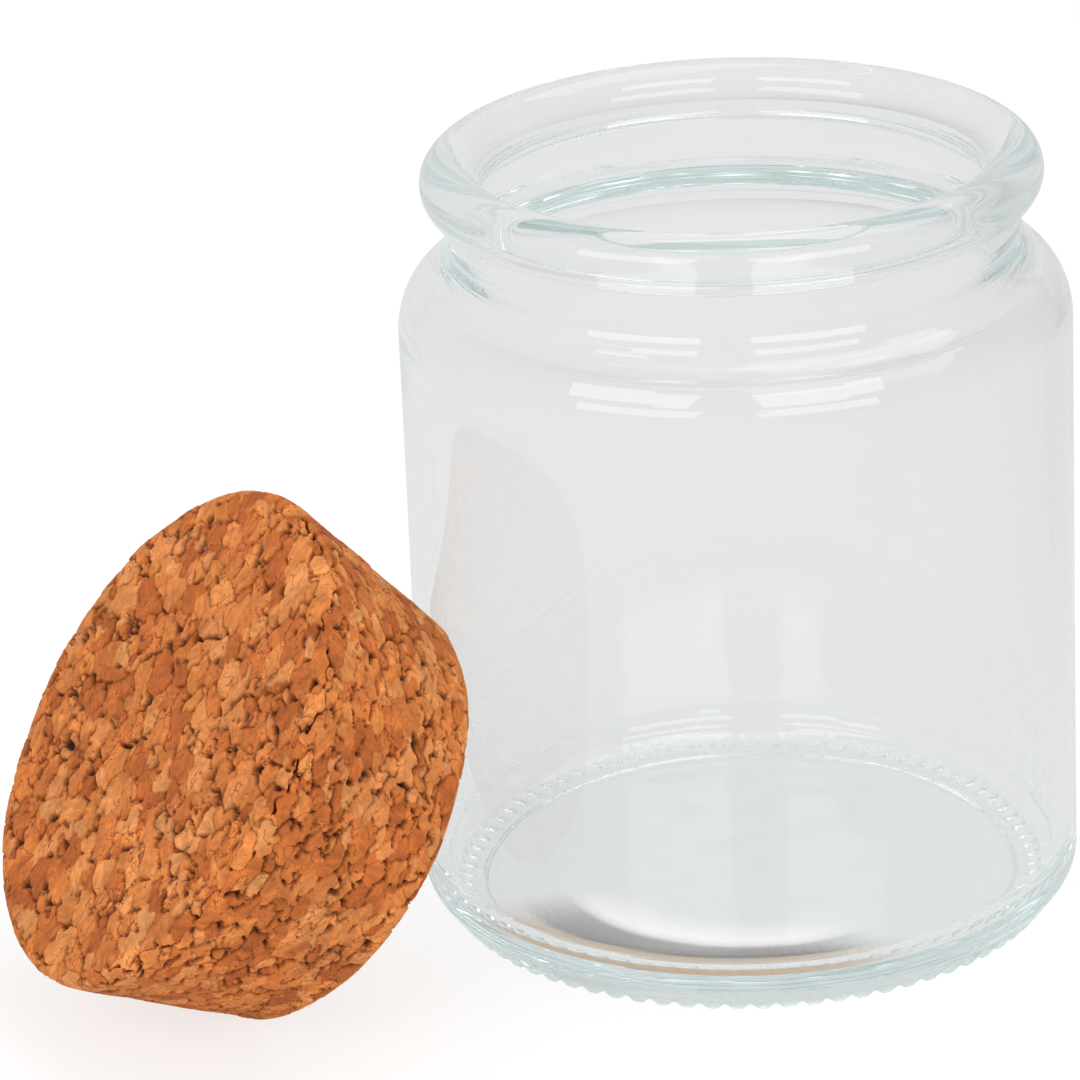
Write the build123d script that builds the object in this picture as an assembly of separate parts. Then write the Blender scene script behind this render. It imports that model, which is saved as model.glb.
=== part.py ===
from build123d import *
import math
import os

# Glass storage jar with a tapered cork stopper, which is off and leans against the jar's side.
# Millimetres. The jar's axis is Z and it stands on Z = 0. The stopper is on the -X side.

# Jar body
jar_height = 106.8
body_radius = 45.0
wall = 3.2
cavity_round = 5.0
floor_thickness = 4.2
floor_dome = 1.0

# Heel and bearing ring
heel_run = 3.5
heel_height = 4.6
heel_round = 4.5
bearing_width = 4.7
push_up_step = 1.2
push_up_dome = 1.0

# Gripping flutes across the bearing ring, each cut with a bar of this many sides
flute_count = 77
flute_sides = 8
flute_radius = 1.1
flute_run = 1.8
flute_rise = 0.75

# Shoulder and neck
shoulder_run = 6.7
shoulder_height = 8.9
shoulder_wall = 3.3
shoulder_round = 2.0
neck_height = 7.75
neck_wall = 3.1
neck_foot_round = 3.0

# Rim bead and mouth
bead_section_radius = 4.05
bead_overhang = 3.0
rim_flat = 0.1
lip_depth = 6.2
lip_width = 1.8
mouth_land = 1.2
mouth_lean_degrees = 15.0

# Cork stopper, which seats where its taper is as wide as the mouth
cork_height = 30.2
cork_taper_degrees = 12.0
cork_seat_depth = 19.3
cork_top_round = 2.2
cork_foot_round = 3.0

# The stopper's lean, and the gap that it keeps to the jar's wall and to the table
lean_degrees = 35.4
lean_clearance = 0.3

# How far from a round stretch of a section the straight runs may lie that stand in for it
run_sag = 0.1

# How far each cutter runs past what it cuts
overrun = 2.0

# Radii from the wall inwards
cavity_radius = body_radius - wall
bearing_radius = body_radius - heel_run
bearing_bore = bearing_radius - bearing_width
neck_radius = body_radius - shoulder_run
neck_bore = neck_radius - neck_wall
mouth_radius = neck_bore - lip_width
bead_radius = neck_radius + bead_overhang
bead_centre_radius = bead_radius - bead_section_radius
push_up_radius = bearing_bore - push_up_step

# Heights from the rim downwards
bead_centre_height = jar_height - bead_section_radius
bead_foot = bead_centre_height - math.sqrt(
    bead_section_radius**2 - (neck_radius - bead_centre_radius) ** 2
)
shoulder_top = bead_foot - neck_height
shoulder_foot = shoulder_top - shoulder_height
inner_shoulder_top = shoulder_top - shoulder_wall
land_foot = jar_height - lip_depth
land_top = land_foot + mouth_land
neck_bore_top = land_foot - lip_width

# Mouth, which leans outwards above its land until it would meet the rim's top, and is rounded there
mouth_lean = math.radians(mouth_lean_degrees)
mouth_top_radius = mouth_radius + (jar_height - land_top) * math.tan(mouth_lean)
mouth_turn = math.pi / 2 - mouth_lean
mouth_round = (bead_centre_radius - rim_flat - mouth_top_radius) / math.tan(mouth_turn / 2)

# Heights from the floor upwards
push_up_height = push_up_step + push_up_dome
floor_height = floor_thickness + floor_dome

# Stopper
cork_taper = math.radians(cork_taper_degrees)
cork_foot_radius = mouth_radius - cork_seat_depth * math.tan(cork_taper)
cork_top_radius = cork_foot_radius + cork_height * math.tan(cork_taper)


def round_corner(section, radius_at, height_at, size):
    """Fillet the corner of a half section that lies at the radius and height given."""
    corner = section.vertices().sort_by_distance((radius_at, height_at))[0]
    return fillet(corner, size)


def straight_runs(section):
    """Cut a section's round stretches into straight runs, so that the turned solid has few facets.

    The middle of a short run lies its length times its turn, in radians, over 8 from the curve.
    """
    points = []
    for edge in section.face().outer_wire().order_edges():
        turn = math.radians((edge % 0).get_angle(edge % 0.5) + (edge % 0.5).get_angle(edge % 1))
        runs = max(1, math.ceil(math.sqrt(edge.length * turn / (8 * run_sag))))
        points += [edge @ (step / runs) for step in range(runs)]
    return make_face(Polyline(*points, close=True))


def dome(rim_radius, rim_height, rise):
    """Arc from a shallow dome's rim to its top on the axis, where it is level."""
    sphere_radius = (rim_radius**2 + rise**2) / (2 * rise)
    return RadiusArc((rim_radius, rim_height), (0, rim_height + rise), -sphere_radius)


def spin(section):
    """Turn a half section, drawn with radius along X and height along Y, about the Z axis."""
    return revolve(Plane.XZ * section, Axis.Z)


def jar_section():
    """Half section of the glass: up the outside, over the bead and down the inside."""
    outside = [
        Polyline(
            (bearing_bore, 0),
            (bearing_radius, 0),
            (body_radius, heel_height),
            (body_radius, shoulder_foot),
        ),
        EllipticalCenterArc((neck_radius, shoulder_foot), shoulder_run, shoulder_height),
        Line((neck_radius, shoulder_top), (neck_radius, bead_foot)),
        ThreePointArc(
            (neck_radius, bead_foot),
            (bead_radius, bead_centre_height),
            (bead_centre_radius, jar_height),
        ),
    ]
    mouth = [
        Polyline(
            (bead_centre_radius, jar_height),
            (mouth_top_radius, jar_height),
            (mouth_radius, land_top),
            (mouth_radius, land_foot),
            (neck_bore, neck_bore_top),
            (neck_bore, inner_shoulder_top),
        ),
    ]
    cavity = [
        EllipticalCenterArc(
            (neck_bore, shoulder_foot),
            cavity_radius - neck_bore,
            inner_shoulder_top - shoulder_foot,
        ),
        Line((cavity_radius, shoulder_foot), (cavity_radius, floor_thickness + cavity_round)),
        CenterArc(
            (cavity_radius - cavity_round, floor_thickness + cavity_round), cavity_round, 270, 90
        ),
        dome(cavity_radius - cavity_round, floor_thickness, floor_dome),
    ]
    underside = [
        Line((0, floor_height), (0, push_up_height)),
        dome(push_up_radius, push_up_step, push_up_dome),
        Line((push_up_radius, push_up_step), (bearing_bore, 0)),
    ]
    section = make_face([*outside, *mouth, *cavity, *underside])
    section = round_corner(section, body_radius, heel_height, heel_round)
    section = round_corner(section, mouth_top_radius, jar_height, mouth_round)
    section = round_corner(section, neck_radius, shoulder_top, neck_foot_round)
    section = round_corner(section, neck_bore, inner_shoulder_top, shoulder_round)
    return section


def gripping_flutes():
    """Round flutes that rise outwards across the bearing ring and run out on the heel."""
    root_radius = bearing_radius - flute_run
    slope = math.atan2(flute_rise, flute_run)
    along = (math.cos(slope), 0, math.sin(slope))
    start = Plane(origin=(root_radius, 0, 0), x_dir=(0, 1, 0), z_dir=along)
    bar = RegularPolygon(flute_radius, flute_sides, rotation=90)
    flute = extrude(
        start * Pos(0, -flute_radius, -overrun) * bar,
        heel_run + flute_run + 2 * overrun,
        dir=along,
    )
    return [place * flute for place in PolarLocations(0, flute_count)]


def glass_jar():
    return spin(straight_runs(jar_section())) - gripping_flutes()


def cork_stopper():
    """The stopper by itself, its foot on Z = 0 and its axis on Z."""
    section = make_face(
        Polyline(
            (0, 0),
            (cork_foot_radius, 0),
            (cork_top_radius, cork_height),
            (0, cork_height),
            close=True,
        )
    )
    section = round_corner(section, cork_foot_radius, 0, cork_foot_round)
    section = round_corner(section, cork_top_radius, cork_height, cork_top_round)
    return spin(straight_runs(section))


def cork_lid():
    """The stopper, leaning with its foot's rounded edge by the table and the jar's wall."""
    lean = math.radians(lean_degrees)
    edge_radius = (
        cork_foot_radius
        + cork_foot_round * math.tan(cork_taper)
        - cork_foot_round / math.cos(cork_taper)
    )
    reach = edge_radius * math.sin(lean) + cork_foot_round * (1 - math.cos(lean))
    rise = edge_radius * math.cos(lean) + cork_foot_round * (1 - math.sin(lean))
    foot = Pos(-body_radius - lean_clearance - reach, 0, lean_clearance + rise)
    return foot * Rot(0, lean_degrees - 90, 0) * cork_stopper()


os.makedirs("parts", exist_ok=True)
for name, solid in {"glass_jar": glass_jar(), "cork_lid": cork_lid()}.items():
    export_step(solid, f"parts/{name}.step")
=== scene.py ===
import math

import bpy
import numpy as np
from mathutils import Matrix, Vector


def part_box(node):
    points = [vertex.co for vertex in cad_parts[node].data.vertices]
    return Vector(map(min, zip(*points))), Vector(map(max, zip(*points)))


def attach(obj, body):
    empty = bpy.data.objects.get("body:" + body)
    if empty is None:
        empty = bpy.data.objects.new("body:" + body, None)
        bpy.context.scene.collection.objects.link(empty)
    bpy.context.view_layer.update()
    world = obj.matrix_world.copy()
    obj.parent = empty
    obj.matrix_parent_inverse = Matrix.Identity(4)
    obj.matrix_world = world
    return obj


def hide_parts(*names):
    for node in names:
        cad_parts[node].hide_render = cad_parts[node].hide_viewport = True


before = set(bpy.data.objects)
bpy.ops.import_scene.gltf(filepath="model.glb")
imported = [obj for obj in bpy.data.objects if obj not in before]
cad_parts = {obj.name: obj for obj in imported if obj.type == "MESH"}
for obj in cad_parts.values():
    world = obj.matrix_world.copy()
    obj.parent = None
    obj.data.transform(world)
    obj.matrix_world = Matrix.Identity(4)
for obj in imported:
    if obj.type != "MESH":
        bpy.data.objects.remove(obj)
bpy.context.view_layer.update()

# A clear glass storage jar with its tapered cork stopper, which leans against the jar's side.
# Metres. The jar's axis is Z, it stands on Z = 0, and the stopper lies on the -X side.

mm = 0.001

# Jar body
jar_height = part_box("glass_jar")[1].z
body_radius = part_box("glass_jar")[1].x
wall = 3.2 * mm
cavity_round = 5.0 * mm
floor_thickness = 4.2 * mm
floor_dome = 1.0 * mm

# Heel, bearing ring and push-up, whose edge is lower and softer than the solid's
heel_run = 3.5 * mm
heel_height = 4.6 * mm
heel_round = 4.5 * mm
bearing_width = 4.7 * mm
bearing_edge_round = 0.4 * mm
push_up_edge = 0.6 * mm
push_up_edge_round = 0.9 * mm
push_up_dome = 1.0 * mm

# Gripping flutes across the bearing ring: how softly each begins, and how narrow its lobe is
flute_count = 77
flute_run = 1.8 * mm
flute_rise = 0.75 * mm
flute_blend = 0.15
flute_narrowing = 1.5

# Shoulder and neck
shoulder_run = 6.7 * mm
shoulder_height = 8.9 * mm
shoulder_wall = 3.3 * mm
inner_shoulder_round = 3.5 * mm
neck_height = 7.75 * mm
neck_wall = 3.1 * mm
neck_foot_round = 3.0 * mm

# Rim bead, the crease under it, and the mouth
bead_section_radius = 4.05 * mm
bead_overhang = 3.0 * mm
crease_round = 0.4 * mm
crease_span_degrees = 10.0
rim_flat = 0.1 * mm
lip_width = 1.8 * mm
lip_depth = 6.2 * mm
lip_round = 0.3 * mm
bore_round = 0.6 * mm
mouth_land = 1.2 * mm
mouth_lean = math.radians(15.0)

# Stopper
cork_height = 30.2 * mm
cork_taper = math.radians(12.0)
cork_seat_depth = 19.3 * mm
cork_top_round = 2.2 * mm
cork_foot_round = 3.0 * mm
cork_lean = math.radians(35.4)
cork_clearance = 0.3 * mm

# Radii and heights that follow
cavity_radius = body_radius - wall
bearing_radius = body_radius - heel_run
bearing_bore = bearing_radius - bearing_width
flute_start = bearing_radius - flute_run
neck_radius = body_radius - shoulder_run
neck_bore = neck_radius - neck_wall
mouth_radius = neck_bore - lip_width
bead_radius = neck_radius + bead_overhang
bead_centre_radius = bead_radius - bead_section_radius
bead_centre_height = jar_height - bead_section_radius
bead_foot = bead_centre_height - math.sqrt(
    bead_section_radius**2 - (neck_radius - bead_centre_radius) ** 2
)
shoulder_top = bead_foot - neck_height
shoulder_foot = shoulder_top - shoulder_height
inner_shoulder_top = shoulder_top - shoulder_wall
land_foot = jar_height - lip_depth
land_top = land_foot + mouth_land
neck_bore_top = land_foot - lip_width
mouth_top_radius = mouth_radius + (jar_height - land_top) * math.tan(mouth_lean)
mouth_turn = math.pi / 2 - mouth_lean
mouth_round = (bead_centre_radius - rim_flat - mouth_top_radius) / math.tan(mouth_turn / 2)
cork_foot_radius = mouth_radius - cork_seat_depth * math.tan(cork_taper)
cork_top_radius = cork_foot_radius + cork_height * math.tan(cork_taper)

# How finely the jar's outline is cut: points of each curve, and steps along it
push_up_points = 14
heel_points = 14
shoulder_points = 22
neck_foot_points = 9
bead_points = 60
mouth_points = 40
inner_shoulder_points = 16
cavity_points = 16
floor_points = 22
fine_round_points = 7
small_round_points = 8
ring_step = 2.0 * mm
end_step = 0.06 * mm
glass_columns = 10 * flute_count

# How finely the stopper is cut
cork_foot_points = 20
cork_top_points = 16
cork_step = 0.25 * mm
disc_cells = 256

# Blown waviness of the wall, deeper inside, and the faint waviness under the push-up
wave_size = 22 * mm
wave_stretch = (1, 1, 0.6)
wave_seed = 5
ripple_size = wave_size / 2.5
ripple_share = 0.4
ripple_seed = 6
wave_swing = 0.5
wave_offset = 0.7
wave_foot = 12 * mm
wave_fade = 8 * mm
inner_wave = 0.12 * mm
outer_wave = 0.04 * mm
push_up_wave = 0.08 * mm
push_up_wave_size = 7.0 * mm
push_up_wave_end = (37.0 * mm, 39.0 * mm)
push_up_wave_seed = 7

# Granules: their size, how much their sizes vary, and how far their borders wander
granule_size = (3.1 * mm, 3.1 * mm, 1.9 * mm)
granule_seed = 11
granule_variety = 0.32
border_warp = 0.34
border_warp_size = granule_size[0] * 0.45
border_warp_seeds = (21, 22, 23)
grain_keys = (3, 7, 9)

# Relief of the stopper: which seams and hollows open, how wide, and how deep each form goes
seam_opens = (0.28, 0.80)
seam_share = 0.055
hollow_opens = (0.46, 0.54)
pit_share = 0.22
pit_core = pit_share * 0.4
fine_size = 0.5 * mm
fine_seed = 31
broad_size = 6.0 * mm
broad_seed = 32
crevice_depth = 0.28 * mm
pit_depth = 1.0 * mm
level_depth = 0.20 * mm
fine_depth = 0.07 * mm
broad_depth = 0.25 * mm

# Colours of the cork, in 8-bit display values
granule_shades = [
    (0.00, (178, 92, 40)),
    (0.22, (198, 108, 48)),
    (0.45, (209, 121, 58)),
    (0.68, (217, 131, 66)),
    (0.90, (226, 144, 82)),
    (1.00, (212, 140, 80)),
]
# Seams and veins: the joints' own dark, with painted shade in the open crevices
dark_line_and_crevice_shade_colour = (98, 44, 20)
# Painted shade in the hollows between granules
painted_hollow_shade = (56, 29, 16)

# Textures of the cork: streaks along each granule's grain, mottling, patches, veins and specks
grain_pull = 0.85
streak_scale = 1300.0
streak_detail = 5.0
streak_roughness = 0.65
streak_depth = 1.35
mottle_scale = 420.0
mottle_detail = 4.0
mottle_depth = 1.0
patch_scale = 120.0
patch_detail = 1.0
patch_depth = 0.5
vein_scale = 330.0
vein_detail = 3.0
vein_width = 0.02
vein_shows = (0.46, 0.56)
vein_strength = 0.75
speck_scale = 1900.0
speck_detail = 4.0
speck_bump = 0.5
speck_height = 0.2 * mm
seam_breaks = (0.30, 0.60)
seam_strength = 0.9
cork_roughness = 0.8
cork_specular = 0.25

# Mirrored rays that are deeper in the glass than this see the stopper as a painted glow of this pale colour,
# in place of its own colours
stray_ray_depth = 2.5
painted_stray_glow = (226, 228, 227)

# Glass: rays deeper than the escape depth go out straight, and the flutes' ring is frosted
glass_ior = 1.52
glass_tint = (0.02, 0.38, 0.36)
glass_tint_density = 3.0
glass_shade = (0.93, 0.955, 0.95)
glass_escape_depth = 14
glass_ripple_scale = 70.0
glass_ripple_detail = 0.0
glass_ripple_bump = 0.03
glass_ripple_height = 0.6 * mm
frost_start = (38.6 * mm, 39.6 * mm)
frost_height = 1.6 * mm
frost_roughness = 0.35

# Floor: its white, its glow to the camera, in the glass and on the cork, and the stretch to the
# camera's right over which it darkens in the glass
floor_reach = 3.0
floor_gap = 0.05 * mm
floor_white = 0.76
floor_glow = 1.2
floor_glow_in_glass = 0.84
floor_glow_on_cork = 1.0
floor_glow_share = 0.6
floor_glow_share_in_glass = 0.5
floor_glow_share_on_cork = 0.45
floor_dark_side = (0.02, 0.20)
side_dark_floor = 0.20

# Painted shade and painted bright rim of light under the heel: colours by radius, and where round the jar
# they show
shade_rings = [
    (16.0 * mm, (226, 226, 226)),
    (21.0 * mm, (238, 238, 238)),
    (24.4 * mm, (250, 250, 251)),
    (25.8 * mm, (228, 226, 226)),
    (26.9 * mm, (146, 142, 142)),
    (32.2 * mm, (110, 107, 106)),
    (33.6 * mm, (184, 166, 142)),
    (41.0 * mm, (194, 172, 148)),
]
shade_start = (16.0 * mm, 21.0 * mm)
shade_reach = 41.0 * mm
shade_azimuth = -46.0
shade_half_angle = math.radians(66)
shade_full_angle = math.radians(38)
shade_noise_scale = 2600.0
shade_noise_detail = 2.0
shade_speckle = 0.22
shade_fray = 0.9 * mm
shade_ray_depth = 4.0
shade_ray_depth_span = 1.1

# Pale tent all round: it darkens towards the camera and to its right, and fills in the shadows
tent_bright = 0.79
tent_dark = 0.74
tent_dark_from = 0.2
tent_dark_to = 0.9
tent_dark_side = (0.1, 0.8)
side_dark_tent = 0.29
world_fill = 0.75

# Lamps: name, degrees to the camera's right, elevation, distance, width, height and power
lamps = [
    ("key_left", -39, 29, 0.9, 0.65, 0.30, 1.5),
    ("key_right", 27, 28, 0.9, 0.65, 0.30, 1.5),
    ("top", 120, 70, 1.0, 0.8, 0.8, 2.2),
]
light_bounces = 64
transparent_bounces = 24

# The camera, as fitted to the photograph
photo_pixels = 1080
frame_width = 36.0
camera_lens = 199.2
camera_distance = 828.39 * mm
camera_elevation = 21.685
camera_azimuth = -24.1
camera_roll = -2.401
camera_near = 0.01
camera_far = 10
base_pixel_x = 750.96
base_pixel_y = 876.43


# Outlines: a half section is a list of (radius, height) points


def arc(centre, radius, start, end, count, height_scale=1.0):
    """Points of an arc between two angles in degrees, or of an ellipse's, ends included."""
    angles = np.radians(np.linspace(start, end, count))
    return [
        (centre[0] + radius * math.cos(a), centre[1] + radius * height_scale * math.sin(a))
        for a in angles
    ]


def rounded(before, corner, after, size, count):
    """Points of a fillet at the corner between two straight stretches."""
    before, corner, after = (np.array(p, float) for p in (before, corner, after))
    back = (before - corner) / np.linalg.norm(before - corner)
    ahead = (after - corner) / np.linalg.norm(after - corner)
    half = math.acos(float(np.clip(back @ ahead, -1, 1))) / 2
    middle = (back + ahead) / np.linalg.norm(back + ahead)
    centre = corner + middle * size / math.sin(half)
    first = corner + back * size / math.tan(half) - centre
    last = corner + ahead * size / math.tan(half) - centre
    start = math.atan2(first[1], first[0])
    turn = math.atan2(
        first[0] * last[1] - first[1] * last[0], first[0] * last[0] + first[1] * last[1]
    )
    angles = start + turn * np.linspace(0, 1, count)
    return [(centre[0] + size * math.cos(a), centre[1] + size * math.sin(a)) for a in angles]


def dome(rim_radius, rim_height, rise, count):
    """Points of a shallow dome from its rim to its top on the axis."""
    sphere = (rim_radius**2 + rise**2) / (2 * rise)
    radii = np.linspace(rim_radius, 0, count)
    return [(r, rim_height + rise - sphere + math.sqrt(sphere**2 - r**2)) for r in radii]


def spaced(points, step):
    """The outline with its longer stretches divided, so that no step is longer than the one given.

    Short steps at both ends of a long stretch keep the shading of the rounds beside it off it.
    """
    out = [points[0]]
    for (r0, z0), (r1, z1) in zip(points, points[1:]):
        length = math.hypot(r1 - r0, z1 - z0)
        shares = np.linspace(0, 1, max(1, math.ceil(length / step)) + 1)[1:]
        if length > 4 * end_step:
            shares = sorted([end_step / length, *shares[:-1], 1 - end_step / length, 1])
        out += [(r0 + (r1 - r0) * share, z0 + (z1 - z0) * share) for share in shares]
    return out


def eased(offset, slope, count):
    """Steps (sideways, upwards) along the round that turns a rising slope into an upright."""
    size = offset / (1 - math.sin(slope))
    angles = np.linspace(slope, math.pi / 2, count)
    return [
        (size * (math.sin(a) - math.sin(slope)), size * (math.cos(slope) - math.cos(a)))
        for a in angles
    ]


def shoulder(centre, run, rise, neck_round, count):
    """Points of an elliptical shoulder from its foot up, and of the round that ends it at the neck."""
    last = math.acos(neck_round / run)
    points = arc(centre, run, 0, math.degrees(last), count, rise / run)
    slope = math.atan(rise / run / math.tan(last))
    radius_at, height_at = points[-1]
    steps = eased(neck_round, slope, neck_foot_points)[1:]
    return points + [(radius_at - inwards, height_at + up) for inwards, up in steps]


def base_outline():
    """The jar's outline from the axis under the base, over the bearing ring, to the top of the heel."""
    edge_top = (bearing_bore - push_up_edge, push_up_edge)
    edge_foot = (bearing_bore, 0)
    heel_foot = (bearing_radius, 0)
    heel_top = (body_radius, heel_height)
    body_top = (body_radius, shoulder_foot)
    slope = 2 * push_up_dome / edge_top[0]
    back = push_up_edge_round / 2
    rim_radius, rim_height = edge_top[0] - back, push_up_edge + slope * back
    # The dome's rim slopes like a line from this place on the axis
    line_start = (0, push_up_edge + 2 * push_up_dome)
    outline = dome(rim_radius, rim_height, push_up_dome, push_up_points)[::-1]
    outline += rounded(line_start, edge_top, edge_foot, push_up_edge_round, small_round_points)
    outline += rounded(edge_top, edge_foot, heel_foot, push_up_edge_round, small_round_points)
    outline += rounded(edge_foot, heel_foot, heel_top, bearing_edge_round, fine_round_points)
    outline += rounded(heel_foot, heel_top, body_top, heel_round, heel_points)
    return outline


def rim_outline():
    """The jar's outline from the crease under the bead, over the rim, to the top of the neck's bore."""
    crease = math.degrees(
        math.atan2(bead_foot - bead_centre_height, neck_radius - bead_centre_radius)
    )
    bead_centre = (bead_centre_radius, bead_centre_height)
    bead = arc(bead_centre, bead_section_radius, crease + crease_span_degrees, 90, bead_points)
    neck_top = (neck_radius, bead_foot)
    outline = rounded(
        (neck_radius, shoulder_top), neck_top, bead[0], crease_round, small_round_points
    )
    outline += bead
    rim_top = (bead_centre_radius, jar_height)
    rim_edge = (mouth_top_radius, jar_height)
    lip_top = (mouth_radius, land_top)
    lip_foot = (mouth_radius, land_foot)
    bore_top = (neck_bore, neck_bore_top)
    bore_foot = (neck_bore, inner_shoulder_top)
    outline += rounded(rim_top, rim_edge, lip_top, mouth_round, mouth_points)
    outline += rounded(outline[-1], lip_top, lip_foot, lip_round, fine_round_points)
    outline += rounded(lip_top, lip_foot, bore_top, lip_round, small_round_points)
    outline += rounded(lip_foot, bore_top, bore_foot, bore_round, small_round_points)
    return outline


def cavity_outline():
    """The jar's outline from the neck's bore, down the inside, to the middle of the floor."""
    inner_shoulder = shoulder(
        (neck_bore, shoulder_foot),
        cavity_radius - neck_bore,
        inner_shoulder_top - shoulder_foot,
        inner_shoulder_round,
        inner_shoulder_points,
    )
    floor_radius = cavity_radius - cavity_round
    corner_centre = (floor_radius, floor_thickness + cavity_round)
    outline = inner_shoulder[::-1]
    outline += arc(corner_centre, cavity_round, 0, -90, cavity_points)
    outline += dome(floor_radius, floor_thickness, floor_dome, floor_points)
    return outline


def jar_outline():
    """Half section of the glass, from the axis under the base, round the outside, to the floor's middle."""
    outer_shoulder = shoulder(
        (neck_radius, shoulder_foot),
        shoulder_run,
        shoulder_height,
        neck_foot_round,
        shoulder_points,
    )
    return base_outline() + outer_shoulder + rim_outline() + cavity_outline()


def stopper_outline():
    """Half section of the stopper's side from the foot's flat to the top's, with both rounds."""
    foot = (cork_foot_radius, 0)
    top = (cork_top_radius, cork_height)
    outline = rounded((0, 0), foot, top, cork_foot_round, cork_foot_points)
    return outline + rounded(foot, top, (0, cork_height), cork_top_round, cork_top_points)


# Meshes


def smooth_step(low, high, value):
    """A share that grows softly from 0 to 1 as the value goes from low to high."""
    part = np.clip((value - low) / (high - low), 0, 1)
    return part * part * (3 - 2 * part)


def lattice_noise(points, size, seed):
    """Smooth noise between -1 and 1, from random values on a lattice of cells of that size."""
    span = 32
    table = np.random.default_rng(seed).uniform(-1, 1, (span, span, span))
    place = points / size
    cell = np.floor(place).astype(int)
    part = place - cell
    part = part * part * (3 - 2 * part)
    total = np.zeros(len(points))
    for corner in np.ndindex(2, 2, 2):
        share = np.prod(np.where(np.array(corner), part, 1 - part), axis=1)
        total += share * table[tuple((cell + corner).T % span)]
    return total


def ring_faces(rows, columns):
    """Faces between rows of points that each go once round."""
    here = np.arange(columns)
    beside = (here + 1) % columns
    ring = np.stack([here, beside, beside + columns, here + columns], axis=-1)
    return np.concatenate([ring + row * columns for row in range(rows - 1)])


def new_mesh(name, points, faces, body, node, material):
    """A smooth piece that stands for a node of the frame."""
    mesh = bpy.data.meshes.new(name)
    mesh.from_pydata(points.tolist(), [], faces)
    mesh.shade_smooth()
    mesh.materials.append(material)
    piece = bpy.data.objects.new(name, mesh)
    bpy.context.scene.collection.objects.link(piece)
    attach(piece, body)
    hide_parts(node)
    return piece


def fluted(radius, height, angle):
    """Heights of the base with its gripping flutes, soft lobes that rise outwards and run out on the heel."""
    lobe = (0.5 + 0.5 * np.cos(flute_count * angle)) ** flute_narrowing
    over = np.maximum(radius - bearing_radius + flute_run, 0) * flute_rise / flute_run * lobe
    return (height + over + np.sqrt((height - over) ** 2 + (flute_blend * over) ** 2)) / 2


def blow_wall(points):
    """Move the wall's points in or out a little, as blown glass is wavy, and more so on the inside."""
    wave = lattice_noise(points * wave_stretch, wave_size, wave_seed)
    wave += ripple_share * lattice_noise(points, ripple_size, ripple_seed)
    fade = np.clip((points[:, 2] - wave_foot) / wave_fade, 0, 1)
    fade *= np.clip((shoulder_foot - points[:, 2]) / wave_fade, 0, 1)
    reach = np.hypot(points[:, 0], points[:, 1])
    most = np.where(reach < body_radius - wall / 2, inner_wave, outer_wave)
    depth = most * (wave * wave_swing - wave_offset) * fade
    points[:, :2] *= (1 + depth / reach)[:, None]


def swell_push_up(points):
    """Move the push-up's points up or down a little, but not at its middle or near its edge."""
    reach = np.hypot(points[:, 0], points[:, 1])
    swell = lattice_noise(points, push_up_wave_size, push_up_wave_seed) * push_up_wave
    swell *= smooth_step(0, push_up_wave_size, reach) * (1 - smooth_step(*push_up_wave_end, reach))
    points[:, 2] += swell


def glass_mesh():
    """Points and faces of the jar, turned from its outline, with its flutes and blown waviness."""
    outline = np.array(spaced(jar_outline(), ring_step))
    radius, height = outline[1:-1].T
    push_up_rows = np.argmax(radius > flute_start)
    angle = np.arange(glass_columns) * 2 * math.pi / glass_columns
    radius = np.repeat(radius[:, None], glass_columns, axis=1)
    height = np.repeat(height[:, None], glass_columns, axis=1)
    low = (height < heel_height) & (radius > flute_start)
    height = np.where(low, fluted(radius, height, angle), height)
    points = np.stack([radius * np.cos(angle), radius * np.sin(angle), height], axis=-1)
    rows = len(points)
    points = points.reshape(-1, 3)
    blow_wall(points)
    swell_push_up(points[: push_up_rows * glass_columns])
    points[:, 2] = np.maximum(points[:, 2], 0)
    poles = [(0, 0, outline[0][1]), (0, 0, outline[-1][1])]
    points = np.vstack([points, poles])
    first, last = len(points) - 2, len(points) - 1
    top = (rows - 1) * glass_columns
    sides = [(here, (here + 1) % glass_columns) for here in range(glass_columns)]
    faces = ring_faces(rows, glass_columns).tolist()
    faces += [(first, beside, here) for here, beside in sides]
    faces += [(last, top + here, top + beside) for here, beside in sides]
    return points, faces


def disc_grid(size):
    """Evenly spread points of a unit disc as a square grid, and the grid's rim in order of angle."""
    line = np.linspace(-1, 1, size + 1)
    across, along = np.meshgrid(line, line, indexing="ij")
    wide = np.abs(across) >= np.abs(along)
    reach = np.where(wide, across, along)
    safe = np.where(reach == 0, 1, reach)
    lean = np.where(wide, along, across) / safe * math.pi / 4
    angle = np.where(wide, lean, math.pi / 2 - lean)
    points = np.stack([reach * np.cos(angle), reach * np.sin(angle)], axis=-1)
    index = np.arange((size + 1) ** 2).reshape(size + 1, size + 1)
    rim = np.concatenate([index[-1, :-1], index[:0:-1, -1], index[0, :0:-1], index[:-1, 0]])
    return points.reshape(-1, 2), index, rim


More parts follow.
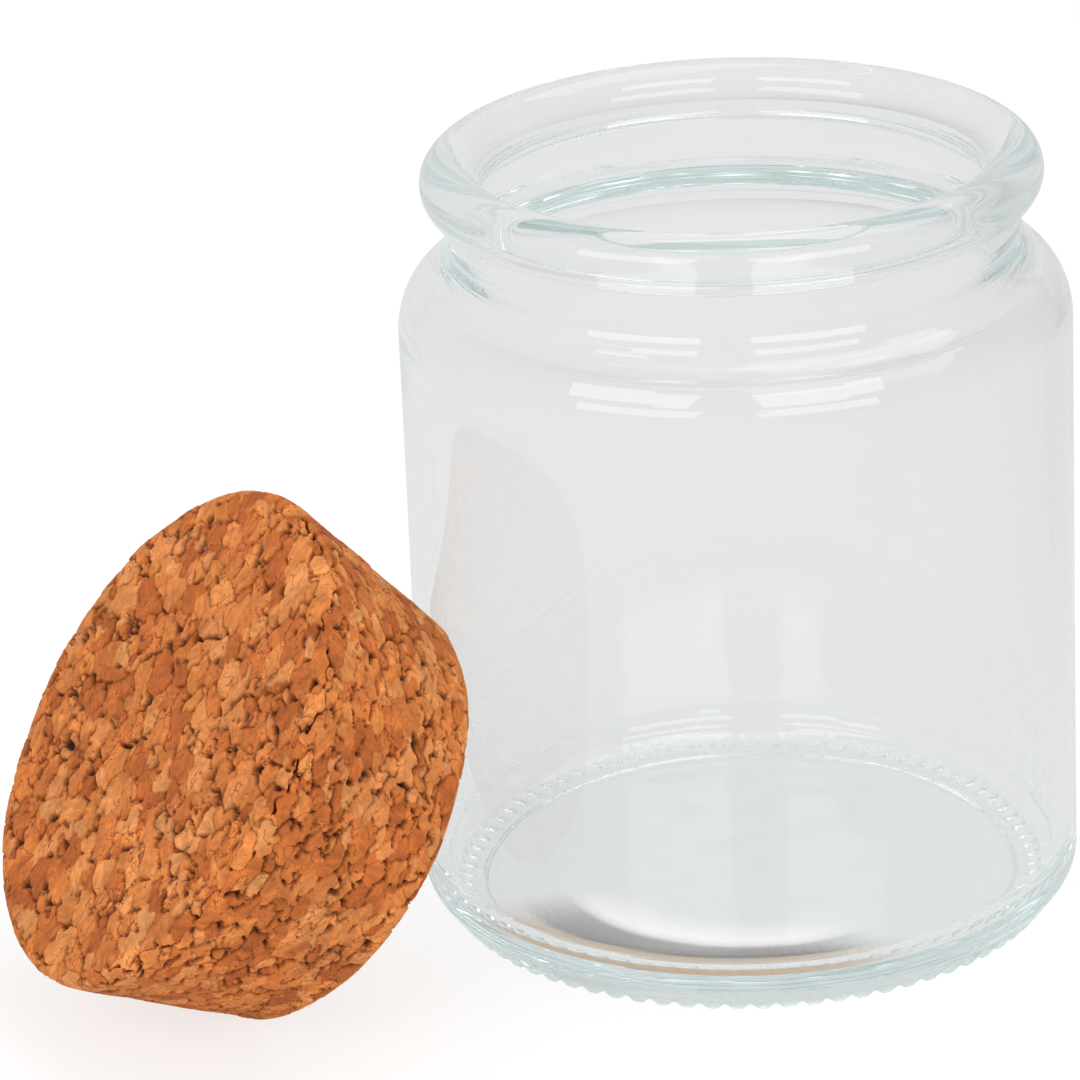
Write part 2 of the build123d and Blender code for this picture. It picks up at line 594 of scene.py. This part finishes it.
def stopper_mesh():
    """Points, outward normals and faces of the plain stopper, its foot on Z = 0."""
    outline = np.array(spaced(stopper_outline(), cork_step))
    columns = 4 * disc_cells
    angle = -math.pi / 4 + 2 * math.pi * np.arange(columns) / columns
    turned = np.stack([np.cos(angle), np.sin(angle), np.zeros(columns)], axis=-1)
    tangent = np.gradient(outline, axis=0)
    tangent /= np.linalg.norm(tangent, axis=1)[:, None]
    upwards = np.array([0, 0, 1])
    side = outline[:, 0, None, None] * turned + outline[:, 1, None, None] * upwards
    normal = tangent[:, 1, None, None] * turned - tangent[:, 0, None, None] * upwards
    rows = len(side)
    points, normals = [side.reshape(-1, 3)], [normal.reshape(-1, 3)]
    faces = [ring_faces(rows, columns)]
    grid, index, rim = disc_grid(disc_cells)
    count = rows * columns
    for row, up in ((0, -1), (rows - 1, 1)):
        radius, level = outline[row]
        inner = np.ones(len(grid), bool)
        inner[rim] = False
        number = np.empty(len(grid), int)
        number[rim] = row * columns + np.arange(columns)
        number[inner] = count + np.arange(inner.sum())
        count += inner.sum()
        disc = np.column_stack([grid[inner] * radius, np.full(inner.sum(), level)])
        points.append(disc)
        normals.append(np.tile([0.0, 0.0, up], (len(disc), 1)))
        n = number[index]
        quads = np.stack([n[:-1, :-1], n[1:, :-1], n[1:, 1:], n[:-1, 1:]], axis=-1).reshape(-1, 4)
        faces.append(quads if up > 0 else quads[:, ::-1])
    return np.vstack(points), np.vstack(normals), np.vstack(faces)


def scatter(*numbers):
    """A repeatable random share between 0 and 1 for whole numbers, the same in any order."""
    total = sum(n.astype(float) for n in numbers)
    product = sum((n.astype(float) % 997) ** 2 for n in numbers)
    return np.mod(np.sin(total * 12.9898 + product * 0.7233) * 43758.5453, 1.0)


def granules(points):
    """How far each point is from the three nearest seeds, in granules, and which seeds these are.

    A granule is a cell round a random seed. The cells are flat along the stopper's axis.
    """
    span = 64
    rng = np.random.default_rng(granule_seed)
    seeds = rng.uniform(0, 1, (span, span, span, 3))
    weight = rng.uniform(-granule_variety, granule_variety, (span, span, span))
    warp = [lattice_noise(points, border_warp_size, seed) for seed in border_warp_seeds]
    place = points / np.array(granule_size) + np.stack(warp, axis=-1) * border_warp
    cell = np.floor(place).astype(int)
    far = np.empty((27, len(points)))
    name = np.empty((27, len(points)), int)
    for k, offset in enumerate(np.ndindex(3, 3, 3)):
        near = cell + np.array(offset) - 1
        key = tuple((near % span).T)
        seed = near + seeds[key]
        far[k] = np.linalg.norm(place - seed, axis=1) - weight[key]
        name[k] = key[0] * span * span + key[1] * span + key[2]
    order = np.argpartition(far, (0, 1, 2), axis=0)[:3]
    far = np.take_along_axis(far, order, axis=0)
    name = np.take_along_axis(name, order, axis=0)
    return far, name


def stopper_place():
    """Where the stopper leans: its foot's rounded edge on the table and by the jar's wall."""
    edge_radius = cork_foot_radius + cork_foot_round * math.tan(cork_taper)
    edge_radius -= cork_foot_round / math.cos(cork_taper)
    reach = edge_radius * math.sin(cork_lean) + cork_foot_round * (1 - math.cos(cork_lean))
    rise = edge_radius * math.cos(cork_lean) + cork_foot_round * (1 - math.sin(cork_lean))
    place = Matrix.Translation((-body_radius - cork_clearance - reach, 0, rise))
    return np.array(place @ Matrix.Rotation(cork_lean - math.pi / 2, 4, "Y"))


def stopper_piece(material):
    """The stopper with its granules in relief: every point moves inwards from the plain form."""
    points, normals, faces = stopper_mesh()
    far, name = granules(points)
    border = (far[1] - far[0]) / 2
    corner = far[2] - far[0]
    seam = smooth_step(*seam_opens, scatter(name[0], name[1]))
    crevice = seam * (1 - smooth_step(0.0, seam_share, border))
    hollow = smooth_step(*hollow_opens, scatter(name[0], name[1], name[2]))
    pit = hollow * (1 - smooth_step(pit_core, pit_share, corner))
    level = scatter(name[0] * 5 + 1)
    fine = lattice_noise(points, fine_size, fine_seed) * 0.5 + 0.5
    broad = lattice_noise(points, broad_size, broad_seed) * 0.5 + 0.5
    depth = crevice * crevice_depth + pit * pit_depth + level * level_depth
    depth += fine * fine_depth + broad * broad_depth
    local = points - normals * depth[:, None]
    place = stopper_place()
    points = local @ place[:3, :3].T + place[:3, 3]
    points[:, 2] = np.maximum(points[:, 2], 0)
    piece = new_mesh(
        "granulated_cork_lid", points, faces.tolist(), "cork", "cork_lid", material
    )
    grain = np.stack([scatter(name[0] * k + k) * 2 - 1 for k in grain_keys], axis=-1)
    grain /= np.linalg.norm(grain, axis=1)[:, None] + 1e-9
    shares = {"granule": scatter(name[0]), "crevice": crevice, "pit": pit}
    for label, values in shares.items():
        piece.data.attributes.new(label, "FLOAT", "POINT").data.foreach_set("value", values)
    for label, vectors in {"grain": grain, "plain": local}.items():
        made = piece.data.attributes.new(label, "FLOAT_VECTOR", "POINT")
        made.data.foreach_set("vector", vectors.ravel())


# Nodes of materials


def fresh(name):
    """A new material, and its node tree, which is empty."""
    material = bpy.data.materials.new(name)
    material.use_nodes = True
    material.node_tree.nodes.clear()
    return material, material.node_tree


def add(tree, kind, inputs=None, **settings):
    """A node with its settings made and its inputs set or linked."""
    made = tree.nodes.new(kind)
    for key, value in settings.items():
        setattr(made, key, value)
    for key, value in (inputs or {}).items():
        if isinstance(value, bpy.types.NodeSocket):
            tree.links.new(value, made.inputs[key])
        else:
            made.inputs[key].default_value = value
    return made


def math_node(tree, operation, first, second=0.0, third=0.0):
    """The result of an operation on numbers."""
    inputs = {0: first, 1: second, 2: third}
    return add(tree, "ShaderNodeMath", inputs, operation=operation).outputs[0]


def product(tree, first, second):
    """Two numbers multiplied."""
    return math_node(tree, "MULTIPLY", first, second)


def vector_node(tree, operation, first, second=(0, 0, 0)):
    """The result of an operation on vectors, which is a number for a dot product or a length."""
    made = add(tree, "ShaderNodeVectorMath", {0: first, 1: second}, operation=operation)
    is_number = operation in ("DOT_PRODUCT", "LENGTH")
    return made.outputs["Value" if is_number else "Vector"]


def smooth_range(tree, value, low, high):
    """A share that grows softly from 0 to 1 as the value goes from low to high."""
    made = add(
        tree,
        "ShaderNodeMapRange",
        {"Value": value, "From Min": low, "From Max": high},
        interpolation_type="SMOOTHSTEP",
    )
    return made.outputs["Result"]


def ramp(tree, value, stops):
    """Colours at places along a ramp, each stop a (place, colour)."""
    made = add(tree, "ShaderNodeValToRGB", {"Fac": value})
    elements = made.color_ramp.elements
    while len(elements) < len(stops):
        elements.new(0.5)
    for element, (place, colour) in zip(elements, stops):
        element.position = place
        element.color = (*colour, 1)
    return made.outputs["Color"]


def noise(tree, place, scale, detail, roughness=0.5):
    """Soft noise between 0 and 1."""
    made = add(
        tree,
        "ShaderNodeTexNoise",
        {"Vector": place, "Scale": scale, "Detail": detail, "Roughness": roughness},
    )
    return made.outputs["Fac"]


def bump(tree, height, strength, distance):
    """Normals of a surface with a slight relief."""
    inputs = {"Strength": strength, "Distance": distance, "Height": height}
    return add(tree, "ShaderNodeBump", inputs).outputs["Normal"]


def position(tree):
    """The place in the scene that is shaded."""
    return add(tree, "ShaderNodeNewGeometry").outputs["Position"]


def light_path(tree):
    """What is known of the ray that asks for a colour."""
    return add(tree, "ShaderNodeLightPath").outputs


def mix_colours(tree, share, first, second):
    """The first colour, and the second as far as the share goes."""
    inputs = {"Factor": share, "A": first, "B": second}
    return add(tree, "ShaderNodeMix", inputs, data_type="RGBA").outputs["Result"]


def mix_shaders(tree, share, first, second):
    """The first shader, and the second as far as the share goes."""
    return add(tree, "ShaderNodeMixShader", {0: share, 1: first, 2: second}).outputs[0]


def emission(tree, colour):
    """A plain glow, which shows the colour as it is."""
    return add(tree, "ShaderNodeEmission", {"Color": colour, "Strength": 1.0}).outputs[0]


def srgb(red, green, blue):
    """A colour that is named in 8-bit display values, as the linear light that a shader takes."""
    shares = [c / 255 for c in (red, green, blue)]
    return tuple(c / 12.92 if c <= 0.04045 else ((c + 0.055) / 1.055) ** 2.4 for c in shares)


# Materials


def glass_material():
    """Soda-lime glass: clear, faintly teal where light runs far inside it, with a soft waviness.

    The flutes' ring is frosted. Shadow and diffuse rays go straight through, and light that has
    been thrown to and fro many times inside the wall is let out straight.
    """
    material, tree = fresh("clear_glass")
    place = position(tree)
    ripple = noise(tree, place, glass_ripple_scale, glass_ripple_detail)
    reach = vector_node(tree, "LENGTH", vector_node(tree, "MULTIPLY", place, (1, 1, 0)))
    height = add(tree, "ShaderNodeSeparateXYZ", {0: place}).outputs["Z"]
    outside = smooth_range(tree, reach, *frost_start)
    frosted = product(tree, outside, math_node(tree, "LESS_THAN", height, frost_height))
    glass = add(
        tree,
        "ShaderNodeBsdfPrincipled",
        {
            "Base Color": (1, 1, 1, 1),
            "Roughness": product(tree, frosted, frost_roughness),
            "IOR": glass_ior,
            "Transmission Weight": 1.0,
            "Normal": bump(tree, ripple, glass_ripple_bump, glass_ripple_height),
        },
    )
    path = light_path(tree)
    trapped = math_node(tree, "GREATER_THAN", path["Ray Depth"], glass_escape_depth)
    shade = ramp(tree, trapped, [(0.0, glass_shade), (1.0, (1, 1, 1))])
    clear = add(tree, "ShaderNodeBsdfTransparent", {"Color": shade})
    straight = math_node(tree, "MAXIMUM", path["Is Shadow Ray"], path["Is Diffuse Ray"])
    straight = math_node(tree, "MAXIMUM", straight, trapped)
    surface = mix_shaders(tree, straight, glass.outputs[0], clear.outputs[0])
    body = add(
        tree,
        "ShaderNodeVolumeAbsorption",
        {"Color": (*glass_tint, 1), "Density": glass_tint_density},
    )
    add(tree, "ShaderNodeOutputMaterial", {"Surface": surface, "Volume": body.outputs[0]})
    return material


def cork_material():
    """Granules in browns and oranges, each with its own grain and dark veins, with dark seams that are partly
    painted shade in their open crevices, and painted shade in the hollows.

    Rays that were mirrored and are already deep in the glass see the stopper as a painted pale glow in place
    of its own colours.
    """
    material, tree = fresh("pressed_cork_granules")

    def field(name, output="Fac"):
        return add(tree, "ShaderNodeAttribute", attribute_name=name).outputs[output]

    def swing(texture, depth):
        """A brightness that varies round 1 with the texture."""
        return math_node(tree, "MULTIPLY_ADD", texture, depth, 1 - depth / 2)

    plain = field("plain", "Vector")
    grain = field("grain", "Vector")
    shades = [(place, srgb(*shade)) for place, shade in granule_shades]
    base = ramp(tree, field("granule"), shades)
    squeeze = product(tree, vector_node(tree, "DOT_PRODUCT", plain, grain), grain_pull)
    offset = add(tree, "ShaderNodeVectorMath", {0: grain, "Scale": squeeze}, operation="SCALE")
    pulled = vector_node(tree, "SUBTRACT", plain, offset.outputs[0])
    streak = noise(tree, pulled, streak_scale, streak_detail, streak_roughness)
    mottle = noise(tree, plain, mottle_scale, mottle_detail)
    patch = noise(tree, plain, patch_scale, patch_detail)
    speck = noise(tree, plain, speck_scale, speck_detail)
    vein = noise(tree, plain, vein_scale, vein_detail)

    value = product(tree, swing(mottle, mottle_depth), swing(patch, patch_depth))
    value = product(tree, swing(streak, streak_depth), value)
    speckled = add(tree, "ShaderNodeHueSaturation", {"Value": value, "Color": base})

    vein = math_node(tree, "ABSOLUTE", math_node(tree, "SUBTRACT", vein, 0.5))
    vein = math_node(tree, "SUBTRACT", 1.0, smooth_range(tree, vein, 0.0, vein_width))
    shown = smooth_range(tree, mottle, *vein_shows)
    vein = product(tree, vein, product(tree, shown, vein_strength))
    broken = smooth_range(tree, speck, *seam_breaks)
    # Seams darken where their crevices open: partly the joints' own colour, partly painted shade
    line = product(tree, field("crevice"), product(tree, broken, seam_strength))
    line = math_node(tree, "MAXIMUM", line, vein)
    colour = mix_colours(tree, line, speckled.outputs["Color"], (*srgb(*dark_line_and_crevice_shade_colour), 1))
    # The hollows darken with painted shade
    colour = mix_colours(tree, field("pit"), colour, (*srgb(*painted_hollow_shade), 1))
    cork = add(
        tree,
        "ShaderNodeBsdfPrincipled",
        {
            "Base Color": colour,
            "Roughness": cork_roughness,
            "Specular IOR Level": cork_specular,
            "Normal": bump(tree, speck, speck_bump, speck_height),
        },
    )

    path = light_path(tree)
    mirrored = math_node(tree, "SUBTRACT", path["Ray Depth"], path["Transmission Depth"])
    mirrored = math_node(tree, "GREATER_THAN", mirrored, 0.5)
    late = math_node(tree, "GREATER_THAN", path["Ray Depth"], stray_ray_depth)
    # Painted glow: a pale light in place of the stopper's colours
    pale = emission(tree, (*srgb(*painted_stray_glow), 1))
    surface = mix_shaders(tree, product(tree, mirrored, late), cork.outputs[0], pale)
    add(tree, "ShaderNodeOutputMaterial", {"Surface": surface})
    return material


# Stage, light and camera


def toward(azimuth, elevation):
    """Unit vector to a place round the jar: azimuth 0 is the -Y side, as for the camera."""
    a, e = math.radians(azimuth), math.radians(elevation)
    return Vector((math.sin(a) * math.cos(e), -math.cos(a) * math.cos(e), math.sin(e)))


def seen_by_glass_or_camera(tree, camera_value, glass_value, other_value):
    """A number that depends on which kind of ray asks for it."""
    path = light_path(tree)
    through = math_node(tree, "MAXIMUM", path["Is Glossy Ray"], path["Is Transmission Ray"])
    value = add(tree, "ShaderNodeMix", {"Factor": through, "A": other_value, "B": glass_value})
    chosen = add(
        tree,
        "ShaderNodeMix",
        {"Factor": path["Is Camera Ray"], "A": value.outputs["Result"], "B": camera_value},
    )
    return chosen.outputs["Result"]


def side_level(tree, way, span, dark):
    """Light level that falls from 1 as a place or direction lies further to the camera's right."""
    aside = vector_node(tree, "DOT_PRODUCT", way, toward(camera_azimuth + 90, 0))
    share = smooth_range(tree, aside, *span)
    return math_node(tree, "SUBTRACT", 1.0, product(tree, share, dark))


def painted_heel_shade(tree):
    """A painted shade and a painted bright rim of light on the table inside the thick heel, where the heel
    would cast them.

    They lie on the side of the two lamps, and show through the wall and the floor of the glass.
    Gives their shader and how far it covers the table.
    """
    place = position(tree)
    flat = vector_node(tree, "MULTIPLY", place, (1, 1, 0))
    reach = vector_node(tree, "LENGTH", flat)
    way = vector_node(tree, "NORMALIZE", flat)
    near = vector_node(tree, "DOT_PRODUCT", way, toward(shade_azimuth, 0))
    speck = noise(tree, place, shade_noise_scale, shade_noise_detail)
    near = math_node(tree, "SUBTRACT", near, product(tree, speck, shade_speckle))
    window = smooth_range(tree, near, math.cos(shade_half_angle), math.cos(shade_full_angle))
    frayed = math_node(tree, "ADD", reach, product(tree, speck, shade_fray))
    share = math_node(tree, "DIVIDE", frayed, shade_reach)
    stops = [(radius / shade_reach, srgb(*level)) for radius, level in shade_rings]
    glow = emission(tree, ramp(tree, share, stops))
    begun = smooth_range(tree, reach, *shade_start)
    inside = math_node(tree, "LESS_THAN", reach, shade_reach)
    cover = product(tree, window, product(tree, inside, begun))
    depth = light_path(tree)["Ray Depth"]
    through = math_node(tree, "COMPARE", depth, shade_ray_depth, shade_ray_depth_span)
    return glow, product(tree, cover, through)


def floor_stage():
    """A wide white floor that partly glows, so that it looks white and keeps the shadow."""
    material, tree = fresh("white_floor")
    paper = add(tree, "ShaderNodeBsdfDiffuse", {"Color": (floor_white,) * 3 + (1,)})
    level = side_level(tree, position(tree), floor_dark_side, side_dark_floor)
    level = product(tree, level, floor_glow_in_glass)
    level = seen_by_glass_or_camera(tree, floor_glow, level, floor_glow_on_cork)
    glow = add(tree, "ShaderNodeEmission", {"Strength": level})
    share = seen_by_glass_or_camera(
        tree, floor_glow_share, floor_glow_share_in_glass, floor_glow_share_on_cork
    )
    surface = mix_shaders(tree, share, paper.outputs[0], glow.outputs[0])
    # The heel's painted shade and painted bright rim, drawn on the floor as a glow
    shade, cover = painted_heel_shade(tree)
    surface = mix_shaders(tree, cover, surface, shade)
    add(tree, "ShaderNodeOutputMaterial", {"Surface": surface})
    mesh = bpy.data.meshes.new("floor")
    corners = [(-1, -1), (1, -1), (1, 1), (-1, 1)]
    corners = [(x * floor_reach, y * floor_reach, -floor_gap) for x, y in corners]
    mesh.from_pydata(corners, [], [(0, 1, 2, 3)])
    mesh.materials.append(material)
    floor = bpy.data.objects.new("floor", mesh)
    bpy.context.scene.collection.objects.link(floor)


def studio_world():
    """A pale tent all round, darker on the camera's side and to its right, and white behind."""
    world = bpy.data.worlds.new("studio_tent")
    bpy.context.scene.world = world
    world.use_nodes = True
    tree = world.node_tree
    tree.nodes.clear()
    way = add(tree, "ShaderNodeTexCoord").outputs["Generated"]
    room = add(
        tree,
        "ShaderNodeMapRange",
        {
            "Value": vector_node(tree, "DOT_PRODUCT", way, toward(camera_azimuth, 0)),
            "From Min": tent_dark_from,
            "From Max": tent_dark_to,
            "To Min": tent_bright,
            "To Max": tent_dark,
        },
        interpolation_type="SMOOTHSTEP",
    )
    level = side_level(tree, way, tent_dark_side, side_dark_tent)
    level = product(tree, room.outputs["Result"], level)
    strength = seen_by_glass_or_camera(tree, 1.0, level, world_fill)
    light = add(tree, "ShaderNodeBackground", {"Color": (1, 1, 1, 1), "Strength": strength})
    add(tree, "ShaderNodeOutputWorld", {"Surface": light.outputs[0]})


def softbox(name, aside, elevation, distance, width, height, power):
    """A flat rectangular lamp that faces the jar."""
    lamp = bpy.data.lights.new(name, "AREA")
    lamp.shape = "RECTANGLE"
    lamp.size, lamp.size_y, lamp.energy = width, height, power
    holder = bpy.data.objects.new(name, lamp)
    way = toward(camera_azimuth + aside, elevation)
    holder.location = Vector((0, 0, jar_height / 2)) + way * distance
    holder.rotation_euler = way.to_track_quat("Z", "Y").to_euler()
    bpy.context.scene.collection.objects.link(holder)


def photo_camera():
    """The camera, placed from where the middle of the jar's base lies in the photo's pixels."""
    e, roll = math.radians(camera_elevation), math.radians(camera_roll)
    ahead = Vector((0, math.cos(e), -math.sin(e)))
    level, rise = Vector((1, 0, 0)), Vector((0, math.sin(e), math.cos(e)))
    right = math.cos(roll) * level + math.sin(roll) * rise
    up = -math.sin(roll) * level + math.cos(roll) * rise
    pixel = camera_distance * frame_width / photo_pixels / camera_lens
    aside = (base_pixel_x - photo_pixels / 2) * pixel
    below = (base_pixel_y - photo_pixels / 2) * pixel
    place = -(camera_distance * ahead + aside * right - below * up)
    turn = Matrix.Rotation(math.radians(camera_azimuth), 3, "Z")
    matrix = Matrix((turn @ right, turn @ up, turn @ -ahead)).transposed().to_4x4()
    matrix.translation = turn @ place
    data = bpy.data.cameras.new("photo_view")
    data.lens, data.sensor_width = camera_lens, frame_width
    data.clip_start, data.clip_end = camera_near, camera_far
    camera = bpy.data.objects.new("photo_view", data)
    camera.matrix_world = matrix
    bpy.context.scene.collection.objects.link(camera)
    bpy.context.scene.camera = camera


points, faces = glass_mesh()
new_mesh("clear_jar", points, faces, "jar", "glass_jar", glass_material())
stopper_piece(cork_material())
floor_stage()
studio_world()
for lamp in lamps:
    softbox(*lamp)
photo_camera()

scene = bpy.context.scene
scene.view_settings.view_transform = "Standard"
scene.cycles.max_bounces = light_bounces
scene.cycles.transmission_bounces = light_bounces
scene.cycles.glossy_bounces = light_bounces
scene.cycles.transparent_max_bounces = transparent_bounces
